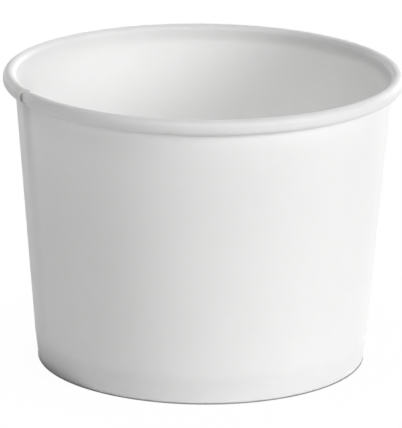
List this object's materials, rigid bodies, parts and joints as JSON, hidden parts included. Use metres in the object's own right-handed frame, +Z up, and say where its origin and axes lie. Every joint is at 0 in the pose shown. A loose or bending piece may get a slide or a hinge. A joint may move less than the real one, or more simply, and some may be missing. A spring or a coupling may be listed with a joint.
{
  "type": "paper food container",
  "caption": "Round tapered white paperboard tub with a wrapped and sealed side wall, an outward rolled rim that takes a press-on lid, and a recessed base; holds soup, salad or ice cream.",
  "frame": {"origin": "middle of the foot, on the surface the container stands on", "axes": "+Z up along the axis of the container; the side seam lies on the -X side, turned a little towards -Y"},
  "size_m": [0.098, 0.098, 0.0725],
  "materials": {
    "wall_board": "smooth white coated paperboard with a low sheen",
    "base_board": "smooth white coated paperboard with a low sheen"
  },
  "bodies": {
    "root": {"side_wall": "wall_board", "base_disc": "base_board"}
  },
  "joints": []
}
